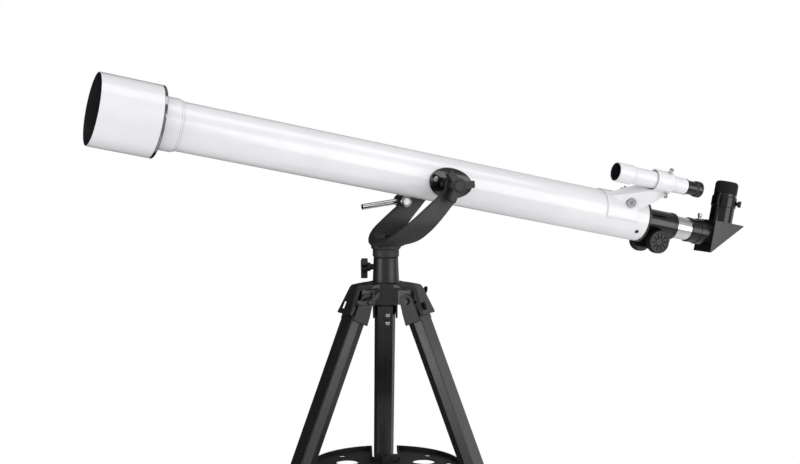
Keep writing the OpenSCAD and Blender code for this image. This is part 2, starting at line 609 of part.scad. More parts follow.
// Outlines of each wing and its core, [distance from azimuth axis, z from altitude axis]
wing_outline = [[10, -131.8], [48, -133.5], [51.5, -136.5], [66.8, -171], [62.8, -172.4],
  [47.8, -139.8], [10, -137.8]];
core_outline = [[10, -135], [46, -137], [46, -156], [43, -hub_foot], [10, -hub_foot]];

// Half space block whose outer face lies 26 from the axis, midway between two legs
module hub_side(angle) rotate([0, 0, angle + 60]) translate([-60, -60, 0]) cube([86, 120, 30]);
// Frame of the azimuth clamp screw, +Z outwards
module on_azimuth_screw()
  translate([0, 0, alt_z - 111.5]) rotate([0, 0, 156.94]) rotate([0, 90, 0]) children();
module tripod_hub() color([0.2, 0.2, 0.2]) difference() {
  union() {
    translate([0, 0, alt_z - 133]) cylinder(r1 = 18.2, r2 = 16.75, h = 35, $fn = 96);
    azimuth_disc(hub_foot, 25, 28.5, 96);
    each_leg() translate([0, 0, alt_z]) {
      along_y(18) linear_extrude(36) polygon(wing_outline);
      along_y(14.4) linear_extrude(28.8) polygon(core_outline);
    }
    translate([0, 0, alt_z - hub_foot]) intersection() {
      cylinder(r = 40, h = 27.6, $fn = 96);
      hub_side(leg_az[0]);
      hub_side(leg_az[1]);
      hub_side(leg_az[2]);
    }
  }
  each_leg() {
    // Slanted cuts on both flanks of the wing
    for (m = [0, 1]) mirror([0, m, 0]) translate([50, 10, alt_z - 135])
      rotate([0, 69.1, 68.2]) translate([-50, -50, 0]) cube([100, 80, 40]);
    // Room for the cheeks of the leg head
    for (y = [14.4, -18.1]) translate([25, y, alt_z - 175]) cube([28, 3.7, 36.4]);
    translate([52, -14, alt_z - 165.5]) cube([30, 13.5, 9.5]);
  }
  at_leg_pivots() along_y(30) cylinder(r = leg_bolt_r + gap, h = 60, $fn = 32);
  azimuth_disc(170, spindle_r + gap, 90);
  on_azimuth_screw() cylinder(r = az_screw_r + gap, h = 30, $fn = 32);
}
module azimuth_knob() color([0.1, 0.1, 0.1]) on_azimuth_screw() {
  translate([0, 0, 11.4]) cylinder(r = az_screw_r, h = 15, $fn = 32);
  translate([0, 0, 21]) cylinder(r = 6, h = 5, $fn = 40);
  translate([0, 0, 25]) linear_extrude(9) lobes(15.5, 8.5, 3);
}
module leg_bolts() color([0.35, 0.35, 0.36]) at_leg_pivots() {
  along_y(27) cylinder(r = leg_bolt_r, h = 44.8, $fn = 32);
  along_y(-17.8) cylinder(r = 5, h = 3.2, $fn = 6);
}

nut_turns = [-38, 16, 16];   // how far each wing nut is turned about its bolt
// One wing of a nut, side is 1 or -1
module nut_wing(side) polygon([for (point = [[2.5, -3.2], [9, -2.6], [15, 0.6], [18.5, 4],
  [19, 6.6], [17, 8], [13, 6.8], [8, 4], [2.5, 3.4]]) [side*point[0], point[1]]]);
module wing_nut(turn) difference() {
  union() {
    along_y(27) cylinder(r1 = 3.8, r2 = 5.2, h = 9, $fn = 40);
    translate([0, 23, 0]) rotate([0, turn, 0]) for (side = [-1, 1])
      rotate([90, 0, 0]) linear_extrude(2.4, center = true) nut_wing(side);
  }
  along_y(40) cylinder(r = leg_bolt_r + gap, h = 40, $fn = 32);
}
module wing_nuts() color([0.25, 0.25, 0.25]) for (i = [0:2])
  rotate([0, 0, leg_az[i]]) translate([pivot_r, 0, pivot_z]) wing_nut(nut_turns[i]);

// ---------- legs ----------
leg_bore = 1.9;              // inset of the outer leg's bore
leg_core = 2.05;             // inset of what slides or plugs into that bore
clamp_up = 11;               // clamp screw above the end of the outer leg
head_slot = leg_w + 2*gap;

// Leg section with a square outer side and flanks that taper towards the inner side
module leg_section(inset) {
  x = leg_d/2 - inset;
  y = leg_w/2 - inset;
  cut = 1.3;
  // Ends of the flank; the factors keep the wall even round its two corners
  flank_x = -leg_d/2 + 10 + 0.194*inset;
  flank_y = leg_w/2 - 4 - 0.678*inset;
  polygon([[x, -y + cut], [x, y - cut], [x - cut, y], [flank_x, y], [-x, flank_y],
    [-x, -flank_y], [flank_x, -y], [x - cut, -y]]);
}
// Frame of the clamp screw inside on_leg, +Z outwards
module on_clamp() translate([0, 0, -leg_end + clamp_up]) rotate([0, 90, 0]) children();

module leg_head(angle) color([0.3, 0.3, 0.31]) on_leg(angle) difference() {
  union() {
    for (y = [17.3, -14.6]) translate([-1.5, y, 0]) rotate([90, 0, 0]) linear_extrude(2.7) {
      translate([1.5, 0]) circle(r = 10, $fn = 48);
      polygon([[-8.5, 0], [11.5, 0], [12, -14], [12, -31], [-12, -31], [-11, -18]]);
    }
    translate([0, 0, -33]) linear_extrude(22) leg_section(leg_core);
    translate([-9.9, -15, -12.9]) cube([20.8, 30, 3.5]);
  }
  along_y(30) cylinder(r = leg_bolt_r + gap, h = 60, $fn = 32);
  translate([-20, -head_slot/2, -9.4]) cube([40, head_slot, 40]);
  translate([-20, -head_slot/2, -50]) cube([40, head_slot, 17]);
}
module leg_outer(angle) color([0.13, 0.13, 0.14]) on_leg(angle) difference() {
  union() {
    translate([0, 0, -leg_end]) linear_extrude(leg_end - 13) leg_section(0);
    // Clamp block and its screw boss
    translate([0, 0, -leg_end - 12]) linear_extrude(46) rect_c(leg_d + 7, leg_w + 7, 5);
    on_clamp() cylinder(r = 8, h = 22, $fn = 40);
    // Lug for the brace
    translate([0, 0, -brace_at]) along_y(4) linear_extrude(8) polygon([
      [-lug_in - 4.5, -3], [-lug_in - 4.5, 3], [-lug_in - 2.5, 5],
      [-leg_d/2 + 1, 14], [-leg_d/2 + 1, -14], [-lug_in - 2.5, -5]]);
  }
  translate([0, 0, -leg_end - 20]) linear_extrude(leg_end + 30) leg_section(leg_bore);
  translate([-lug_in, 0, -brace_at]) along_y(10)
    cylinder(r = brace_pin_r + gap, h = 20, $fn = 32);
  on_clamp() cylinder(r = 3.05, h = 30, $fn = 32);
}
module leg_inner(angle) color([0.5, 0.5, 0.52]) on_leg(angle)
  translate([0, 0, -690]) linear_extrude(560) difference() {
    leg_section(leg_core);
    leg_section(3.4);
  }
module leg_knob(angle) color([0.08, 0.08, 0.08]) on_leg(angle) on_clamp() {
  translate([0, 0, leg_d/2 - 1.6]) cylinder(r = 3, h = 14, $fn = 32);
  translate([0, 0, 22.4]) cylinder(r1 = 7, r2 = 6, h = 2.2, $fn = 40);
  translate([0, 0, 24.4]) linear_extrude(7.5) lobes(15, 8, 4);
}
// Foot, cut off level with the floor
module foot(angle) color([0.06, 0.06, 0.06]) difference() {
  on_leg(angle) difference() {
    translate([0, 0, -735]) linear_extrude(65) rect_c(25.5, 31.5, 6);
    translate([0, 0, -690.05]) linear_extrude(60) leg_section(2.0);
  }
  translate([-600, -600, -100]) cube([1200, 1200, 100]);
}

// ---------- braces, spreader and tray ----------
brace_half = 6.6;
web_len = brace_len - 46;
// Brace along +X from its pivot on the leg to its pivot on the spreader
module brace(angle) color([0.15, 0.15, 0.16]) rotate([0, 0, angle])
  translate([brace_x, 0, brace_z]) rotate([0, brace_rise, 0]) rotate([0, 0, 180]) {
    // Fork round the leg lug
    for (y = [brace_half, -4.2]) along_y(y) linear_extrude(2.4) {
      circle(r = 5, $fn = 32);
      translate([0, -5]) square([20, 10]);
    }
    translate([14, -brace_half, -5]) cube([12, 2*brace_half, 10]);
    // Web with a flange on each side
    translate([20, -brace_half, -1.5]) cube([web_len, 2*brace_half, 3]);
    for (y = [-brace_half, 5]) translate([20, y, -5]) cube([web_len, 1.6, 8]);
    // Tongue into the spreader
    translate([brace_len - 32, -3.6, -3.4]) cube([29, 7.2, 6.8]);
    translate([brace_len, 0, 0]) rotate([90, 0, 0])
      cylinder(r = 4.6, h = 7.2, center = true, $fn = 32);
    for (x = [0, brace_len]) translate([x, 0, 0]) rotate([90, 0, 0])
      cylinder(r = brace_pin_r, h = 15, center = true, $fn = 32);
  }

slot_r = 3;
slot_len = 12.4;
// Spreader hub under the tray. The brace pins run in inclined slots.
module spreader_hub() color([0.14, 0.14, 0.15]) translate([0, 0, spread_z]) difference() {
  union() {
    translate([0, 0, 16]) cylinder(r = 31, h = 3, $fn = 96);
    each_leg() for (y = [6.9, -3.9]) along_y(y) linear_extrude(3)
      polygon([[6, 17], [6, 2], [15, -7], [27, -7], [30.5, -3.5], [30.5, 17]]);
    translate([0, 0, 5]) cylinder(r = 6, h = 12, $fn = 48);
    translate([0, 0, 18]) cylinder(r = stud_r, h = 22, $fn = 32);
  }
  each_leg() translate([hub_r, 0, 0]) along_y(10) linear_extrude(20) {
    circle(r = slot_r, $fn = 40);
    rotate(138.6) translate([slot_len, 0]) circle(r = slot_r, $fn = 40);
    rotate(138.6) translate([0, -slot_r]) square([slot_len, 2*slot_r]);
  }
}
// Round dish with a notch for each leg and holes between them
module tray_dish() difference() {
  cylinder(r = 105, h = 8, $fn = 128);
  // Hollow, leaving walls beside the notches and a boss in the middle
  difference() {
    translate([0, 0, 2.5]) cylinder(r = 102.5, h = 10, $fn = 128);
    each_leg() translate([34, -20.5, 0]) cube([100, 41, 20]);
    cylinder(r = 9, h = 6, $fn = 48);
  }
  each_leg() translate([37, -18, -1]) cube([100, 36, 20]);
  translate([0, 0, -1]) cylinder(r = stud_r + gap, h = 20, $fn = 32);
  each_leg() rotate([0, 0, 60]) {
    translate([62, 0, -1]) cylinder(r = 16.1, h = 20, $fn = 64);
    for (y = [-27, 27]) translate([86, y, -1]) cylinder(r = 6.1, h = 20, $fn = 48);
  }
}
module tray_knob() difference() {
  union() {
    cylinder(r = 8, h = 6, $fn = 48);
    translate([0, 0, 5]) linear_extrude(8) lobes(17, 9, 3);
  }
  translate([0, 0, -1]) cylinder(r = stud_r + gap, h = 16, $fn = 32);
}
module tray() color([0.1, 0.1, 0.11]) translate([0, 0, spread_z + 19 + gap]) {
  tray_dish();
  translate([0, 0, 6.1]) tray_knob();
}

// Moves the origin to the floor point under the middle of the box round the whole telescope
module placed() translate([-89.28, -23.79, 0]) children();
function shown(name) = node == "all" || node == name;

if (shown("main_tube")) placed() main_tube();
if (shown("dew_shield")) placed() dew_shield();
if (shown("dew_shield_ring")) placed() dew_shield_ring();
if (shown("lens_cell")) placed() lens_cell();
if (shown("objective_crown")) placed() objective_crown();
if (shown("objective_flint")) placed() objective_flint();
if (shown("tube_rings")) placed() tube_rings();
if (shown("focuser_housing")) placed() focuser_housing();
if (shown("tube_screws")) placed() tube_screws();
if (shown("saddle_plates")) placed() saddle_plates();
if (shown("saddle_bolts")) placed() saddle_bolts();
if (shown("drawtube")) placed() drawtube();
if (shown("focus_rack")) placed() focus_rack();
if (shown("drawtube_collar")) placed() drawtube_collar();
if (shown("pinion_shaft")) placed() pinion_shaft();
if (shown("focus_knobs")) placed() focus_knobs();
if (shown("pinion_cover")) placed() pinion_cover();
if (shown("drawtube_thumbscrew")) placed() drawtube_thumbscrew();
if (shown("diagonal_housing")) placed() diagonal_housing();
if (shown("diagonal_mirror")) placed() diagonal_mirror();
if (shown("eyepiece_holder")) placed() eyepiece_holder();
if (shown("holder_screw")) placed() holder_screw();
if (shown("eyepiece_body")) placed() eyepiece_body();
if (shown("eyepiece_lenses")) placed() eyepiece_lenses();
if (shown("eyecup")) placed() eyecup();
if (shown("finder_bracket")) placed() finder_bracket();
if (shown("finder_hardware")) placed() finder_hardware();
if (shown("finder_tube")) placed() finder_tube();
if (shown("finder_objective")) placed() finder_objective();
if (shown("finder_eyepiece")) placed() finder_eyepiece();
if (shown("yoke")) placed() yoke();
if (shown("azimuth_spindle")) placed() azimuth_spindle();
if (shown("altitude_knob")) placed() altitude_knob();
if (shown("adjust_rod")) placed() adjust_rod();
if (shown("rod_swivel")) placed() rod_swivel();
if (shown("swivel_screw")) placed() swivel_screw();
if (shown("tripod_hub")) placed() tripod_hub();
if (shown("azimuth_knob")) placed() azimuth_knob();
if (shown("leg_bolts")) placed() leg_bolts();
if (shown("wing_nuts")) placed() wing_nuts();
if (shown("leg_head_a")) placed() leg_head(leg_az[0]);
if (shown("leg_head_b")) placed() leg_head(leg_az[1]);
if (shown("leg_head_c")) placed() leg_head(leg_az[2]);
if (shown("leg_outer_a")) placed() leg_outer(leg_az[0]);
if (shown("leg_outer_b")) placed() leg_outer(leg_az[1]);
if (shown("leg_outer_c")) placed() leg_outer(leg_az[2]);
if (shown("leg_inner_a")) placed() leg_inner(leg_az[0]);
if (shown("leg_inner_b")) placed() leg_inner(leg_az[1]);
if (shown("leg_inner_c")) placed() leg_inner(leg_az[2]);
if (shown("leg_knob_a")) placed() leg_knob(leg_az[0]);
if (shown("leg_knob_b")) placed() leg_knob(leg_az[1]);
if (shown("leg_knob_c")) placed() leg_knob(leg_az[2]);
if (shown("foot_a")) placed() foot(leg_az[0]);
if (shown("foot_b")) placed() foot(leg_az[1]);
if (shown("foot_c")) placed() foot(leg_az[2]);
if (shown("brace_a")) placed() brace(leg_az[0]);
if (shown("brace_b")) placed() brace(leg_az[1]);
if (shown("brace_c")) placed() brace(leg_az[2]);
if (shown("spreader_hub")) placed() spreader_hub();
if (shown("tray")) placed() tray();
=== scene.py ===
# A small refracting telescope on a fork mount and a three-legged tripod, in a white studio.
# Metres, +Z up. The tube lies near the XZ plane, with its lens end raised towards -X.
# The CAD pieces get materials and modifiers; the screws in the leg heads are modelled here.
import bpy
import bmesh
import json
import math
from mathutils import Matrix, Vector


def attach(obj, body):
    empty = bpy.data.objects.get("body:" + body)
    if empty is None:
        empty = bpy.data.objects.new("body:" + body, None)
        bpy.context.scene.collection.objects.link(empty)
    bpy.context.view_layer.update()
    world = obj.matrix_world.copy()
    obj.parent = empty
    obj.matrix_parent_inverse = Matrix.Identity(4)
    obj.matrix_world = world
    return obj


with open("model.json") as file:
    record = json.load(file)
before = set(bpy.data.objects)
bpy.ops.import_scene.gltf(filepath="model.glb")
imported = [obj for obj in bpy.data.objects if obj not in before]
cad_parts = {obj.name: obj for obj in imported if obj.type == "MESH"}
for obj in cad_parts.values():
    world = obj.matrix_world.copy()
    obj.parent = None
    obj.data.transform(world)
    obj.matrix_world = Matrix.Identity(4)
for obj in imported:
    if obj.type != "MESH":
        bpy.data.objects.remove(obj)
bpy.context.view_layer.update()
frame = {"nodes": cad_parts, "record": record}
scene = bpy.context.scene
NODES = frame["nodes"]
MM = 0.001


# ------------------------------------------------------------------ shared frames
def basis(x, y, z, origin):
    matrix = Matrix.Identity(4)
    for i in range(3):
        matrix[i][0], matrix[i][1], matrix[i][2], matrix[i][3] = x[i], y[i], z[i], origin[i]
    return matrix


def frame_at(origin, z, x=None):
    """Frame with the given z direction; x is made square to z, and is level by default."""
    z = z.normalized()
    if x is None:
        x = Vector((0, 0, 1)).cross(z)
    x = (x - z * x.dot(z)).normalized()
    return basis(x, z.cross(x), z, origin)


ELEVATION = math.radians(11.27)
TUBE_AXIS = Vector((math.cos(ELEVATION), 0.0, -math.sin(ELEVATION)))
TUBE_UP = Vector((math.sin(ELEVATION), 0.0, math.cos(ELEVATION)))
SIDE = Vector((0.0, 1.0, 0.0))
BASE = Vector((-0.08928, -0.02379, 0.0))  # azimuth axis on the floor
ALTITUDE_AXIS = BASE + Vector((0.0784, 0.0, 0.8045))
TUBE_ORIGIN = ALTITUDE_AXIS + TUBE_UP * 0.007  # on the tube centreline
TUBE = basis(TUBE_AXIS, SIDE, TUBE_UP, TUBE_ORIGIN)
ROD = basis(Vector((1, 0, 0)), SIDE, Vector((0, 0, 1)), ALTITUDE_AXIS)

# the finder is turned about the tube axis, from the top towards -Y
FINDER_ANGLE = math.radians(35.5)
FINDER_OFFSET = 0.072
FINDER_UP = TUBE_UP * math.cos(FINDER_ANGLE) - SIDE * math.sin(FINDER_ANGLE)
FINDER_SIDE = SIDE * math.cos(FINDER_ANGLE) + TUBE_UP * math.sin(FINDER_ANGLE)
FINDER = basis(TUBE_AXIS, FINDER_SIDE, FINDER_UP, TUBE_ORIGIN + FINDER_UP * FINDER_OFFSET)

LEGS = "abc"
LEG_A_AZIMUTH = -51.06
# third turns from leg a, for legs a, b and c
LEG_AZIMUTH = {leg: math.radians(LEG_A_AZIMUTH + 120 * turns)
               for leg, turns in zip(LEGS, (0, 2, 1))}
LEG_SPLAY = math.radians(22.5)
PIVOT_RADIUS = 0.040
PIVOT_HEIGHT = 0.650


def leg_frame(leg):
    """Frame at the leg's pivot: x outwards, -z down along the leg."""
    azimuth = LEG_AZIMUTH[leg]
    radial = Vector((math.cos(azimuth), math.sin(azimuth), 0.0))
    tangent = Vector((-math.sin(azimuth), math.cos(azimuth), 0.0))
    pivot = BASE + radial * PIVOT_RADIUS + Vector((0, 0, PIVOT_HEIGHT))
    down = radial * math.sin(LEG_SPLAY) - Vector((0, 0, 1)) * math.cos(LEG_SPLAY)
    out = radial * math.cos(LEG_SPLAY) + Vector((0, 0, 1)) * math.sin(LEG_SPLAY)
    return basis(out, tangent, -down, pivot)


# ------------------------------------------------------------------ camera
CAMERA_AZIMUTH = math.radians(-23.06)
CAMERA_ELEVATION = math.radians(4.5)
CAMERA_OFFSET = Vector((-0.684185, -1.656316, 0.881613))  # from BASE
CAMERA_RIGHT = Vector((math.cos(CAMERA_AZIMUTH), math.sin(CAMERA_AZIMUTH), 0.0))


def add_camera():
    level = math.cos(CAMERA_ELEVATION)
    back = Vector((math.sin(CAMERA_AZIMUTH) * level,
                   -math.cos(CAMERA_AZIMUTH) * level,
                   math.sin(CAMERA_ELEVATION)))
    camera = bpy.data.cameras.new("camera")
    camera.sensor_width = 36.0
    camera.lens = 59.4
    camera.clip_start = 0.05
    camera.clip_end = 60.0
    ob = bpy.data.objects.new("camera", camera)
    ob.matrix_world = basis(CAMERA_RIGHT, back.cross(CAMERA_RIGHT), back, BASE + CAMERA_OFFSET)
    scene.collection.objects.link(ob)
    scene.camera = ob


add_camera()


# ------------------------------------------------------------------ node graph helper
class Graph:
    """Short calls that add shader nodes to a material or world."""

    SHADER_INPUTS = {
        "color": "Base Color", "rough": "Roughness", "metal": "Metallic", "normal": "Normal",
        "spec": "Specular IOR Level", "coat": "Coat Weight", "coat_rough": "Coat Roughness",
        "trans": "Transmission Weight", "ior": "IOR",
        "film": "Thin Film Thickness", "film_ior": "Thin Film IOR"}

    def __init__(self, owner):
        owner.use_nodes = True
        self.owner = owner
        self.tree = owner.node_tree
        self.object_coords = None

    def put(self, socket, value):
        """Link a socket, or set a value; colours are given as RGB."""
        if isinstance(value, bpy.types.NodeSocket):
            self.tree.links.new(value, socket)
        elif socket.type == "RGBA":
            socket.default_value = (*value, 1)
        else:
            socket.default_value = value

    def node(self, kind, inputs=None, **settings):
        node = self.tree.nodes.new(kind)
        for key, value in settings.items():
            setattr(node, key, value)
        for key, value in (inputs or {}).items():
            self.put(node.inputs[key], value)
        return node

    def coords(self):
        if self.object_coords is None:
            self.object_coords = self.node("ShaderNodeTexCoord").outputs["Object"]
        return self.object_coords

    def math(self, operation, a, b=0.0):
        return self.node("ShaderNodeMath", {0: a, 1: b}, operation=operation).outputs[0]

    def add(self, a, b):
        return self.math("ADD", a, b)

    def mul(self, a, b):
        return self.math("MULTIPLY", a, b)

    def vec(self, operation, a, b=None):
        inputs = {0: a} if b is None else {0: a, 1: b}
        node = self.node("ShaderNodeVectorMath", inputs, operation=operation)
        return node.outputs["Value" if operation in ("LENGTH", "DOT_PRODUCT") else "Vector"]

    def noise(self, scale, detail=3.0, rough=0.6, at=None):
        inputs = {"Vector": at or self.coords(), "Scale": scale,
                  "Detail": detail, "Roughness": rough}
        return self.node("ShaderNodeTexNoise", inputs).outputs["Fac"]

    def cells(self, scale):
        inputs = {"Vector": self.coords(), "Scale": scale}
        return self.node("ShaderNodeTexVoronoi", inputs, feature="F1").outputs["Distance"]

    def ramp(self, value, span=(0.3, 0.7), to=(0.0, 1.0), kind="SMOOTHSTEP"):
        """Map the span of values onto another."""
        inputs = {"Value": value, "From Min": span[0], "From Max": span[1],
                  "To Min": to[0], "To Max": to[1]}
        return self.node("ShaderNodeMapRange", inputs, interpolation_type=kind).outputs["Result"]

    def mix(self, factor, a, b):
        return self.node("ShaderNodeMix", {0: factor, 6: a, 7: b}, data_type="RGBA").outputs[2]

    def mixf(self, factor, a, b):
        return self.node("ShaderNodeMix", {0: factor, 2: a, 3: b}, data_type="FLOAT").outputs[0]

    def overlay(self, color, over, mask, amount):
        """Lay one colour over another where the mask is 1, at the given strength."""
        return self.mix(self.mul(mask, amount), color, over)

    def split(self, vector):
        return self.node("ShaderNodeSeparateXYZ", {0: vector}).outputs

    def local(self, placement):
        """x, y, z in a local frame, metres."""
        offset = self.vec("SUBTRACT", self.coords(), tuple(placement.translation))
        parts = {i: self.vec("DOT_PRODUCT", offset, tuple(placement.col[i][:3]))
                 for i in range(3)}
        return self.split(self.node("ShaderNodeCombineXYZ", parts).outputs[0])

    def stretched(self, parts, scales):
        """Vector of the parts, each times its own scale, for streaky noise."""
        scaled = {i: self.mul(parts[i], scales[i]) for i in range(3)}
        return self.node("ShaderNodeCombineXYZ", scaled).outputs[0]

    def edge(self, radius):
        """1 on worn edges, from the difference of a rounded normal and the true one."""
        rounded = self.node("ShaderNodeBevel", {"Radius": radius}, samples=4)
        true = self.node("ShaderNodeNewGeometry")
        match = self.vec("DOT_PRODUCT", rounded.outputs["Normal"], true.outputs["Normal"])
        return self.ramp(self.math("SUBTRACT", 1.0, match), (0.02, 0.30))

    def bump(self, height, strength, depth):
        inputs = {"Strength": strength, "Distance": depth, "Height": height}
        return self.node("ShaderNodeBump", inputs).outputs["Normal"]

    def finish(self, **values):
        """Set the Principled shader's inputs and return the material."""
        shader = self.tree.nodes["Principled BSDF"]
        for key, value in values.items():
            self.put(shader.inputs[self.SHADER_INPUTS[key]], value)
        return self.owner


def new_material(name):
    return Graph(bpy.data.materials.new(name))


def shade(value, *factors):
    """A colour from one value and a factor for each of red, green and blue."""
    return tuple(value * factor for factor in factors)


# ------------------------------------------------------------------ material recipes
# lengths along and across a tube are in millimetres here
def plain_bore(graph, radius, bore):
    """1 inside a straight bore, with a soft limit 0.15 mm each way."""
    return graph.ramp(radius, ((bore + 0.15) * MM, (bore - 0.15) * MM))


def finder_bore(graph, along, radius):
    """1 inside the finder's bore: wide on the -x side of the step, tapered near the +x end."""
    narrow, wide = 11.75, 12.9
    step, half_blend = 279.0, 0.1
    taper_start, taper_end, taper_depth = 343.0, 371.0, 1.1
    before_step = graph.ramp(along, ((step - half_blend) * MM, (step + half_blend) * MM),
                             to=(1.0, 0.0))
    bore = graph.mixf(before_step, narrow * MM, wide * MM)
    taper = graph.ramp(along, (taper_start * MM, taper_end * MM),
                       to=(0.0, taper_depth * MM), kind="LINEAR")
    bore = graph.math("SUBTRACT", bore, taper)
    return graph.ramp(graph.math("SUBTRACT", radius, bore), (0.0001, -0.0001))


def groove_lines(graph, along, places, width=0.35):
    """1 in thin grooves at the given places."""
    grooves = None
    for place in places:
        distance = graph.math("ABSOLUTE", graph.math("SUBTRACT", along, place * MM))
        line = graph.ramp(distance, (width * 0.5 * MM, width * 1.3 * MM), to=(1.0, 0.0))
        grooves = line if grooves is None else graph.math("MAXIMUM", grooves, line)
    return grooves


def white_paint(name, placement, bore=None, grooves=()):
    """Gloss white outside and flocked dark inside; no bore means the finder's stepped one."""
    inner = 0.016  # brightness of the inside
    graph = new_material(name)
    along, y, z = graph.local(placement)
    radius = graph.math("SQRT", graph.add(graph.mul(y, y), graph.mul(z, z)))
    if bore is None:
        inside = finder_bore(graph, along, radius)
    else:
        inside = plain_bore(graph, radius, bore)
    cloud = graph.noise(scale=9.0, rough=0.55)
    dust = graph.ramp(graph.noise(scale=420.0, detail=4.0, rough=0.7), (0.70, 0.80))
    color = graph.mix(graph.ramp(cloud, (0.35, 0.65)),
                      (0.755, 0.755, 0.780), (0.800, 0.798, 0.822))
    color = graph.overlay(color, (0.45, 0.44, 0.42), mask=dust, amount=0.035)
    color = graph.overlay(color, (0.55, 0.55, 0.56), mask=graph.edge(0.0006), amount=0.10)
    rough = graph.ramp(graph.noise(scale=35.0, detail=5.0), to=(0.17, 0.27))
    if grooves:
        lines = groove_lines(graph, along, grooves)
        color = graph.overlay(color, (0.23, 0.23, 0.25), mask=lines, amount=0.75)
    flock = graph.noise(scale=2600.0, rough=0.8)
    flocking = graph.mix(graph.ramp(flock, (0.3, 0.75)),
                         shade(inner, 0.55, 0.57, 0.75), shade(inner, 1.5, 1.55, 2.0))
    peel = graph.noise(scale=520.0, detail=1.5, rough=0.45)
    height = graph.mixf(inside, peel, graph.mul(flock, 3.0))
    outside = graph.math("SUBTRACT", 1.0, inside)
    return graph.finish(
        color=graph.mix(inside, color, flocking), rough=graph.mixf(inside, rough, 0.46),
        normal=graph.bump(height, strength=0.10, depth=0.00006),
        coat=graph.mul(outside, 0.55), coat_rough=0.045, spec=graph.mixf(inside, 0.5, 0.42))


def chrome(name, tint, rough, placement=TUBE):
    """Bright turned metal, with fine rings around the frame's x axis."""
    graph = new_material(name)
    rings = graph.stretched(graph.local(placement), (900.0, 25.0, 25.0))
    turning = graph.noise(scale=1.0, at=rings)
    smear = graph.noise(scale=60.0)
    roughness = graph.add(graph.ramp(turning, to=rough),
                          graph.ramp(smear, (0.5, 0.75), to=(0.0, 0.08)))
    color = graph.mix(graph.ramp(smear, (0.35, 0.7)),
                      shade(tint, 1, 1, 1.015), shade(tint, 0.86, 0.865, 0.89))
    color = graph.overlay(color, (min(1, tint * 1.25),) * 3, mask=graph.edge(0.0004), amount=0.4)
    return graph.finish(color=color, rough=roughness, metal=1.0,
                        normal=graph.bump(turning, strength=0.05, depth=0.00004))


def plastic(name, base, rough, grain, depth, strength, coat=0.0, worn=0.03, metal=0.0, spec=0.5):
    """Dark plastic or paint: grain, depth and strength set its fine texture."""
    graph = new_material(name)
    fine = graph.noise(scale=grain, rough=0.65)
    blotch = graph.noise(scale=28.0)
    tone = shade(base, 1.0, 1.0, 1.04)
    color = graph.mix(graph.ramp(blotch),
                      tuple(v * 0.80 for v in tone), tuple(v * 1.25 for v in tone))
    dust = graph.ramp(graph.noise(scale=700.0, detail=5.0, rough=0.75), (0.68, 0.82))
    color = graph.overlay(color, (0.30, 0.30, 0.29), mask=dust, amount=0.05)
    color = graph.overlay(color, tuple(min(1, v * 2.2 + worn) for v in tone),
                          mask=graph.edge(0.0006), amount=worn * 5)
    roughness = graph.add(graph.ramp(blotch, to=rough), graph.ramp(fine, to=(-0.03, 0.05)))
    return graph.finish(color=color, rough=roughness, normal=graph.bump(fine, strength, depth),
                        coat=coat, coat_rough=0.12, metal=metal, spec=spec)


def powder(name, base, rough, grain, strength):
    """Pitted powder coat, worn pale in patches along the edges."""
    graph = new_material(name)
    pits = graph.noise(scale=grain, detail=2.0, rough=0.55)
    height = graph.add(graph.mul(pits, 0.7), graph.mul(graph.cells(grain * 0.55), 0.6))
    blotch = graph.noise(scale=16.0, detail=4.0)
    color = graph.mix(graph.ramp(blotch),
                      shade(base, 0.84, 0.84, 0.83), shade(base, 1.18, 1.18, 1.15))
    color = graph.mix(graph.ramp(pits, (0.50, 0.70)), color, shade(base, 3.4, 3.35, 3.2))
    patches = graph.ramp(graph.noise(scale=210.0, detail=4.0, rough=0.7), (0.45, 0.62))
    color = graph.overlay(color, (0.19, 0.19, 0.185),
                          mask=graph.mul(graph.edge(0.0011), patches), amount=0.40)
    roughness = graph.add(graph.ramp(blotch, to=rough),
                          graph.ramp(pits, (0.4, 0.7), to=(-0.04, 0.06)))
    return graph.finish(color=color, rough=roughness, spec=0.55,
                        normal=graph.bump(height, strength, depth=0.00016))


def anodised(name, leg, base, rough, metal, bottom_painted_shade, spec):
    """Extruded and anodised leg: die lines run along it, and painted shade darkens it towards
    the bottom.
    """
    graph = new_material(name)
    parts = graph.local(leg_frame(leg))
    streaks = graph.stretched(parts, (900.0, 900.0, 5.0))
    die = graph.noise(scale=1.0, rough=0.65, at=streaks)
    blotch = graph.noise(scale=11.0, detail=4.0)
    # painted shade: the colour is mixed towards a quarter of the base down the leg, standing in
    # for the light falling off
    low = graph.ramp(parts[2], (-0.05, -0.50), to=(0.0, bottom_painted_shade), kind="LINEAR")
    color = graph.mix(graph.ramp(blotch),
                      shade(base, 0.9, 0.9, 0.91), shade(base, 1.12, 1.12, 1.13))
    color = graph.mix(graph.ramp(die, (0.35, 0.7)), color, shade(base, 1.3, 1.3, 1.32))
    color = graph.mix(low, color, shade(base, 0.25, 0.25, 0.26))
    color = graph.overlay(color, shade(base, 2.3, 2.3, 2.3),
                          mask=graph.edge(0.0005), amount=0.35)
    scratch_coords = graph.vec("MULTIPLY", streaks, (0.35, 0.35, 3.0))
    scratches = graph.noise(scale=1.0, detail=2.0, rough=0.5, at=scratch_coords)
    color = graph.overlay(color, shade(base, 3, 3, 3),
                          mask=graph.ramp(scratches, (0.72, 0.76)), amount=0.25)
    roughness = graph.add(graph.ramp(blotch, to=rough), graph.ramp(die, to=(-0.03, 0.05)))
    return graph.finish(color=color, rough=roughness, metal=metal, spec=spec,
                        normal=graph.bump(die, strength=0.12, depth=0.00005))


def glass(name):
    """Coated lens glass, faintly smeared."""
    graph = new_material(name)
    smear = graph.noise(scale=30.0, detail=4.0)
    return graph.finish(color=(0.90, 0.96, 0.95), trans=1.0, ior=1.517, film_ior=1.38,
                        rough=graph.ramp(smear, (0.45, 0.8), to=(0.0, 0.035)),
                        film=graph.ramp(smear, (0.2, 0.8), to=(300.0, 360.0)))


